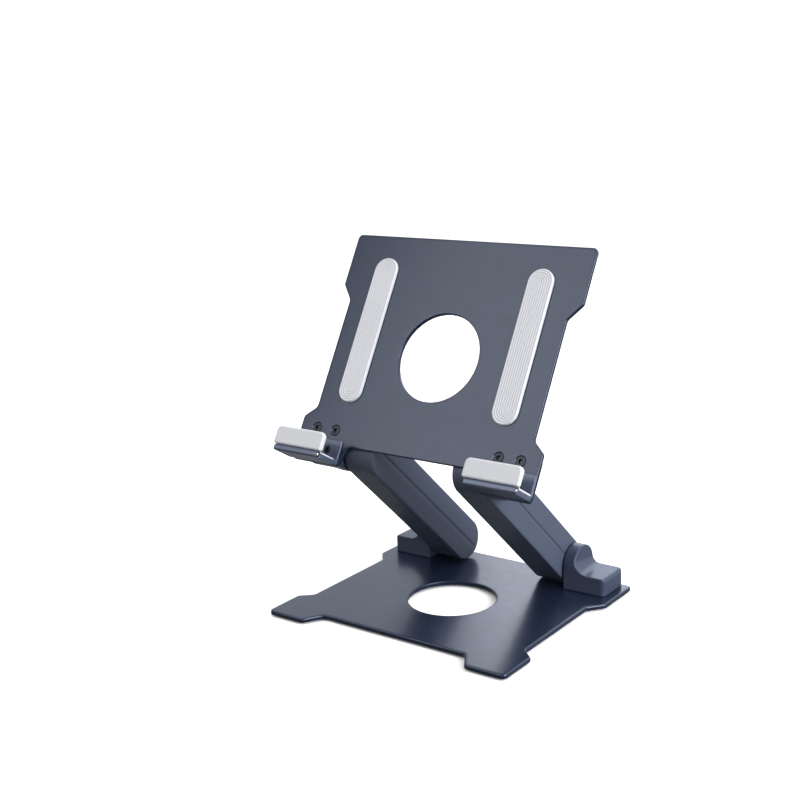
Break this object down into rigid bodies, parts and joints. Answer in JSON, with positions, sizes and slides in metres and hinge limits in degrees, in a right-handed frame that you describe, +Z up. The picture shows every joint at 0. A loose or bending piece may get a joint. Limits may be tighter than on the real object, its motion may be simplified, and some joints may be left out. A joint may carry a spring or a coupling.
{
  "type": "tablet stand",
  "caption": "Folding Z-shaped desktop tablet stand: a base plate and a tray plate joined by hollow arms on friction hinges, with padded hooks that hold the tablet's lower edge.",
  "frame": {"origin": "centre of the base plate's outline, on the surface that the rubber feet stand on", "axes": "+Z up, -Y towards the user (the side the tablet faces), +X to the right as the user faces the stand, along both hinge axes"},
  "size_m": [0.1694, 0.146, 0.2168],
  "materials": {
    "painted_plate": "satin dark blue-grey powder paint",
    "moulded_body": "fine-textured dark blue-grey moulding",
    "foot_rubber": "matte black rubber",
    "silicone": "matte light grey silicone",
    "zinc_hardware": "bright zinc plate",
    "hinge_steel": "turned and pressed steel"
  },
  "bodies": {
    "base": {"base_plate": "painted_plate", "base_hinge_block_left": "moulded_body", "base_block_screw_left_1": "zinc_hardware", "base_block_screw_left_2": "zinc_hardware", "base_hinge_shaft_left": "hinge_steel", "base_friction_washer_left": "hinge_steel", "base_disc_spring_left": "hinge_steel", "base_hinge_nut_left": "zinc_hardware", "foot_front_left": "foot_rubber", "foot_rear_left": "foot_rubber", "base_hinge_block_right": "moulded_body", "base_block_screw_right_1": "zinc_hardware", "base_block_screw_right_2": "zinc_hardware", "base_hinge_shaft_right": "hinge_steel", "base_friction_washer_right": "hinge_steel", "base_disc_spring_right": "hinge_steel", "base_hinge_nut_right": "zinc_hardware", "foot_front_right": "foot_rubber", "foot_rear_right": "foot_rubber"},
    "arms": {"arm_back_cover_left": "moulded_body", "arm_front_cover_left": "moulded_body", "arm_link_bar_left": "hinge_steel", "arm_screw_left_1": "zinc_hardware", "arm_screw_left_2": "zinc_hardware", "arm_back_cover_right": "moulded_body", "arm_front_cover_right": "moulded_body", "arm_link_bar_right": "hinge_steel", "arm_screw_right_1": "zinc_hardware", "arm_screw_right_2": "zinc_hardware"},
    "tray": {"tray_plate": "painted_plate", "tray_hinge_block_left": "moulded_body", "tray_block_screw_left_1": "zinc_hardware", "tray_block_screw_left_2": "zinc_hardware", "tray_hinge_shaft_left": "hinge_steel", "tray_friction_washer_left": "hinge_steel", "tray_disc_spring_left": "hinge_steel", "tray_hinge_nut_left": "zinc_hardware", "tray_grip_left": "silicone", "hook_bracket_left": "painted_plate", "hook_pad_left": "silicone", "hook_pin_left": "zinc_hardware", "hook_screw_left_1": "zinc_hardware", "hook_screw_left_2": "zinc_hardware", "tray_hinge_block_right": "moulded_body", "tray_block_screw_right_1": "zinc_hardware", "tray_block_screw_right_2": "zinc_hardware", "tray_hinge_shaft_right": "hinge_steel", "tray_friction_washer_right": "hinge_steel", "tray_disc_spring_right": "hinge_steel", "tray_hinge_nut_right": "zinc_hardware", "tray_grip_right": "silicone", "hook_bracket_right": "painted_plate", "hook_pad_right": "silicone", "hook_pin_right": "zinc_hardware", "hook_screw_right_1": "zinc_hardware", "hook_screw_right_2": "zinc_hardware"}
  },
  "joints": [
    {"name": "base_hinge", "type": "hinge", "parent": "base", "child": "arms", "pos_m": [0, 0.0595, 0.0174], "axis": [-1, 0, 0], "range_deg": [-30, 40]},
    {"name": "tray_hinge", "type": "hinge", "parent": "arms", "child": "tray", "pos_m": [0, -0.02387, 0.09515], "axis": [1, 0, 0], "range_deg": [-102, 78]}
  ]
}
